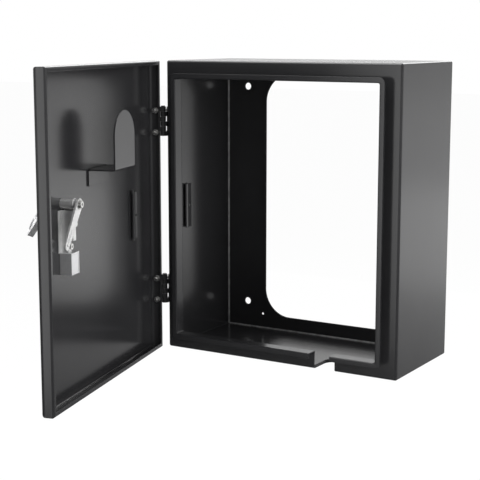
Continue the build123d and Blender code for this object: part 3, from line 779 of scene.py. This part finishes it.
def make_latch_arm():
    tip_x = lock_x + arm_reach
    arm = add_box("latch_arm_stamped", (lock_x, arm_back, spindle_z - arm_boss),
                  (tip_x, arm_front, spindle_z + arm_boss))
    bpy.ops.object.mode_set(mode="EDIT")
    pick(arm, "VERT", lambda vertex: vertex.co.x * 1000.0 > lock_x + 1.0)
    bpy.ops.transform.resize(value=(1.0, 1.0, arm_tip / arm_boss),
                             center_override=(tip_x / 1000.0, 0.0, spindle_z / 1000.0))
    bpy.ops.object.mode_set(mode="OBJECT")
    combine(arm, [add_rod_through("boss", arm_boss, lock_x, spindle_z, arm_back, arm_front, 48),
                  add_rod_through("tip", arm_tip, tip_x, spindle_z, arm_back, arm_front, 40)], "UNION")
    bore = add_rod_through("bore", arm_bore, lock_x, spindle_z, arm_back - over, arm_front + over, 32)
    combine(arm, [bore], "DIFFERENCE")
    soften(arm, 0.55, segments=3, angle=40.0)
    combine(arm, [make_rib()], "UNION")
    close_openings(arm)
    smooth_rounds(arm)
    settle(arm, dropped_arm)
    finish_piece(arm, zinc_stamping, "zinc_stamping", "latch", "latch_arm")


dropped_arm = open_door @ turn_about("Y", (lock_x, 0.0, spindle_z), 51.0)
make_latch_arm()


# Clamp bracket
# Hat-shaped strip of zinc-plated sheet, bent over rollers, that clamps the outside plate to
# the door. It is deep above and steps down below, and its two feet lie on the skin.
bracket_sheet = 1.2
bracket_half = 4.4
bracket_foot = 8.0
bracket_bend = 1.4
bracket_top = 33.0
bracket_step = -3.0
bracket_bottom = -17.5
bracket_lap = 0.3
upper_depth = 16.0
lower_depth = 10.0
lower_inset = 0.03
clamp_screw_heights = (17.0, -10.25)


def make_hat(name, depth, z0, z1, inset):
    """A length of hat-shaped strip with rolled bends, open at the skin, its faces set in a little."""
    half = bracket_half - inset
    foot = bracket_foot - inset
    hat = add_sheet(name, (lock_x - half - foot / 2, skin_inside + bracket_sheet - inset, (z0 + z1) / 2),
                    foot, z1 - z0)
    pick(hat, "EDGE", lambda edge: abs(middle(edge).x - (lock_x - half)) < near_enough)
    rise = depth - bracket_sheet
    fold_on(((0.0, rise), (2 * half, 0.0), (0.0, -rise), (foot, 0.0)))
    pick(hat, "EDGE", is_fold)
    roll_sheet(hat, bracket_bend, 4, bracket_sheet - 2 * inset, 1)
    soften(hat, 0.25, segments=2, angle=50.0)
    return hat


def make_clamp_bracket():
    upper = make_hat("clamp_bracket_bent", upper_depth, bracket_step, bracket_top, 0.0)
    lower = make_hat("lower_hat", lower_depth, bracket_bottom, bracket_step + bracket_lap, lower_inset)
    step_half = bracket_half - bracket_sheet / 2
    step = add_box("step", (lock_x - step_half, skin_inside + lower_depth - 0.6, bracket_step + 0.05),
                   (lock_x + step_half, skin_inside + upper_depth - 0.6, bracket_step + bracket_sheet))
    combine(upper, [lower, step], "UNION")
    holes = [add_rod_through("hole", screw_hole_radius, lock_x, z, skin_inside + 4.0,
                             skin_inside + 20.0, 24) for z in clamp_screw_heights]
    combine(upper, holes, "DIFFERENCE")
    smooth_rounds(upper)
    settle(upper, open_door)
    finish_piece(upper, zinc_stamping, "zinc_stamping", "door", "clamp_bracket")


make_clamp_bracket()


# Swing handle
# Zinc casting with a satin finish: a flat bar forked at the top, round at the tip, with a
# hole that goes over the cylinder's nose, a hollowed face and well rounded edges.
cylinder_z = -30.5
handle_pivot_y = -194.2
handle_half = 11.0
handle_half_thickness = 3.5
handle_reach = 88.0
hollow_half = 7.5
hollow_depth = 1.4
upper_hollow_top = 24.0
fork_half = 3.4
fork_bottom = 30.6
nose_hole_radius = 7.5
pin_hole_radius = 2.05
raised_handle = dropped_arm @ turn_about("X", (lock_x, handle_pivot_y, spindle_z), -37.0)


def add_handle_box(name, half, y0, y1, z0, z1):
    """A block that is even about the handle's length."""
    return add_box(name, (lock_x - half, y0, z0), (lock_x + half, y1, z1))


def add_cross_rod(name, radius, half, sides):
    """A round bar along the handle's hinge pin."""
    return add_rod(name, radius, (lock_x - half, handle_pivot_y, spindle_z),
                   (lock_x + half, handle_pivot_y, spindle_z), sides)


def make_handle_bar(y0, y1, tip_z):
    bar = add_handle_box("swing_handle_cast", handle_half, y0, y1, tip_z, spindle_z - 4.5)
    combine(bar, [add_rod_through("tip", handle_half, lock_x, tip_z, y0, y1, 64)], "UNION")
    combine(bar, [add_handle_box("top", handle_half, y0, y1, spindle_z - 5.0, spindle_z),
                  add_cross_rod("eye", handle_half_thickness, handle_half, 32)], "UNION")
    return bar


def make_swing_handle():
    y0 = handle_pivot_y - handle_half_thickness
    y1 = handle_pivot_y + handle_half_thickness
    floor_y = y0 + hollow_depth
    tip_z = spindle_z - handle_reach + handle_half
    bar = make_handle_bar(y0, y1, tip_z)
    hollow = add_handle_box("hollow", hollow_half, y0 - over, floor_y, tip_z - 1.0, cylinder_z - 10.5)
    hollow_end = add_rod_through("hollow_end", hollow_half, lock_x, tip_z - 1.0, y0 - over, floor_y, 40)
    combine(hollow, [hollow_end], "UNION")
    cuts = [add_rod_through("nose_hole", nose_hole_radius, lock_x, cylinder_z, y0 - over, y1 + over, 48),
            add_handle_box("upper_hollow", hollow_half, y0 - over, floor_y, cylinder_z + 11.0,
                           upper_hollow_top),
            add_handle_box("fork", fork_half, y0 - 2.0, y1 + 2.0, fork_bottom, spindle_z + 9.0),
            add_cross_rod("pin_hole", pin_hole_radius, handle_half + over, 24)]
    combine(bar, cuts + [hollow], "DIFFERENCE")
    soften(bar, 0.9, segments=4, angle=38.0)
    settle(bar, raised_handle)
    finish_piece(bar, satin_chrome, "silver_casting", "handle", "handle")


make_swing_handle()


# Door panel
# One sheet folded on all four sides into a shallow tray, with a return flange inside the
# rim. The skin's bends are wide, the rim's are tighter, and the corners are mitred.
door_half_width = 175.0
door_half_height = 200.0
door_sheet = 1.5
skin_outside = skin_inside - door_sheet
skin_bend = 5.5
rim_y = -163.0
rim_flange = 6.0
rim_bend = 2.6
lock_holes = ((5.5, spindle_z), (7.0, cylinder_z), (2.5, clamp_screw_heights[0]),
              (2.5, clamp_screw_heights[1]))


def make_door_panel():
    panel = add_box("door_panel_folded", (-door_half_width, skin_outside, -door_half_height),
                    (door_half_width, rim_y, door_half_height))
    bpy.ops.object.mode_set(mode="EDIT")
    pick(panel, "FACE", lambda face: face.normal.y > 0.9)
    bpy.ops.mesh.inset(thickness=rim_flange / 1000.0)
    bpy.ops.mesh.delete(type="FACE")
    for y, width, segments in ((skin_outside, skin_bend, 6), (rim_y, rim_bend, 5)):
        pick(panel, "EDGE", lambda edge: is_fold(edge) and abs(middle(edge).y - y) < near_enough)
        bpy.ops.mesh.bevel(offset=width / 1000.0, segments=segments, affect="EDGES")
    bpy.ops.object.mode_set(mode="OBJECT")
    apply_tool(panel, "SOLIDIFY", thickness=door_sheet / 1000.0, offset=-1.0, use_even_offset=True)
    holes = [add_rod_through("hole", radius, lock_x, z, skin_outside - 5.0, skin_inside + 3.5, 40)
             for radius, z in lock_holes]
    hinge_y = hinge_axis.y - screw_offset
    holes += [add_rod("hole", screw_hole_radius, (-door_half_width - 5.0, hinge_y, z),
                      (-door_half_width + 5.0, hinge_y, z), 24) for z in screw_heights]
    combine(panel, holes, "DIFFERENCE")
    soften(panel, 0.6, segments=3, angle=50.0)
    settle(panel, open_door)
    finish_piece(panel, powder_coat, "black_powder_coat", "door", "door_panel")


make_door_panel()


# Cylinder cover
# Square cast cover over the inner end of the key cylinder, with rounded edges and a
# slightly sunk face.
cover_left = 13.0
cover_right = 8.0
cover_bottom = -43.5
cover_height = 15.0
cover_border = 2.2
cover_sink = 0.4
cover_bore_radius = 5.5
cover_bore_depth = 13.0


def make_cylinder_cover():
    cover = add_box("cylinder_cover_cast", (lock_x - cover_left, skin_inside, cover_bottom),
                    (lock_x + cover_right, skin_inside + cover_height, bracket_bottom))
    bpy.ops.object.mode_set(mode="EDIT")
    pick(cover, "FACE", lambda face: face.normal.y > 0.9)
    bpy.ops.mesh.inset(thickness=cover_border / 1000.0)
    bpy.ops.mesh.extrude_region_move(TRANSFORM_OT_translate={"value": (0.0, -cover_sink / 1000.0, 0.0)})
    bpy.ops.object.mode_set(mode="OBJECT")
    bore = add_rod_through("bore", cover_bore_radius, lock_x, cylinder_z, skin_inside - over,
                           skin_inside + cover_bore_depth, 32)
    combine(cover, [bore], "DIFFERENCE")
    soften(cover, 0.8, segments=3, angle=40.0)
    settle(cover, open_door)
    finish_piece(cover, satin_chrome, "silver_casting", "door", "cylinder_housing")


make_cylinder_cover()


# Key plug
# Nickel-plated brass plug, turned, with a milled key slot. It sits in the nose of the
# cylinder and turns with the key.
def make_nickel():
    finish, tree, shader = new_finish("nickel_plug")
    shader.inputs["Metallic"].default_value = 1.0
    vary_colour(tree, shader, add_noise(tree, 200.0, 2.0, 0.0, 1.0), (0.64, 0.62, 0.58), (0.74, 0.72, 0.68))
    tree.links.new(add_noise(tree, 350.0, 2.0, 0.18, 0.28), shader.inputs["Roughness"])
    return finish


dress(make_nickel(), "key_plug")


# Lock gasket
# Thin sheet of matt black rubber, cut a little smaller than the outside plate and clamped
# between the plate and the door.
def make_rubber():
    finish, tree, shader = new_finish("black_rubber")
    vary_colour(tree, shader, add_noise(tree, 250.0, 2.0, 0.0, 1.0), (0.012, 0.012, 0.012),
                (0.022, 0.022, 0.022))
    tree.links.new(add_noise(tree, 400.0, 2.0, 0.7, 0.85), shader.inputs["Roughness"])
    return finish


dress(make_rubber(), "lock_gasket")
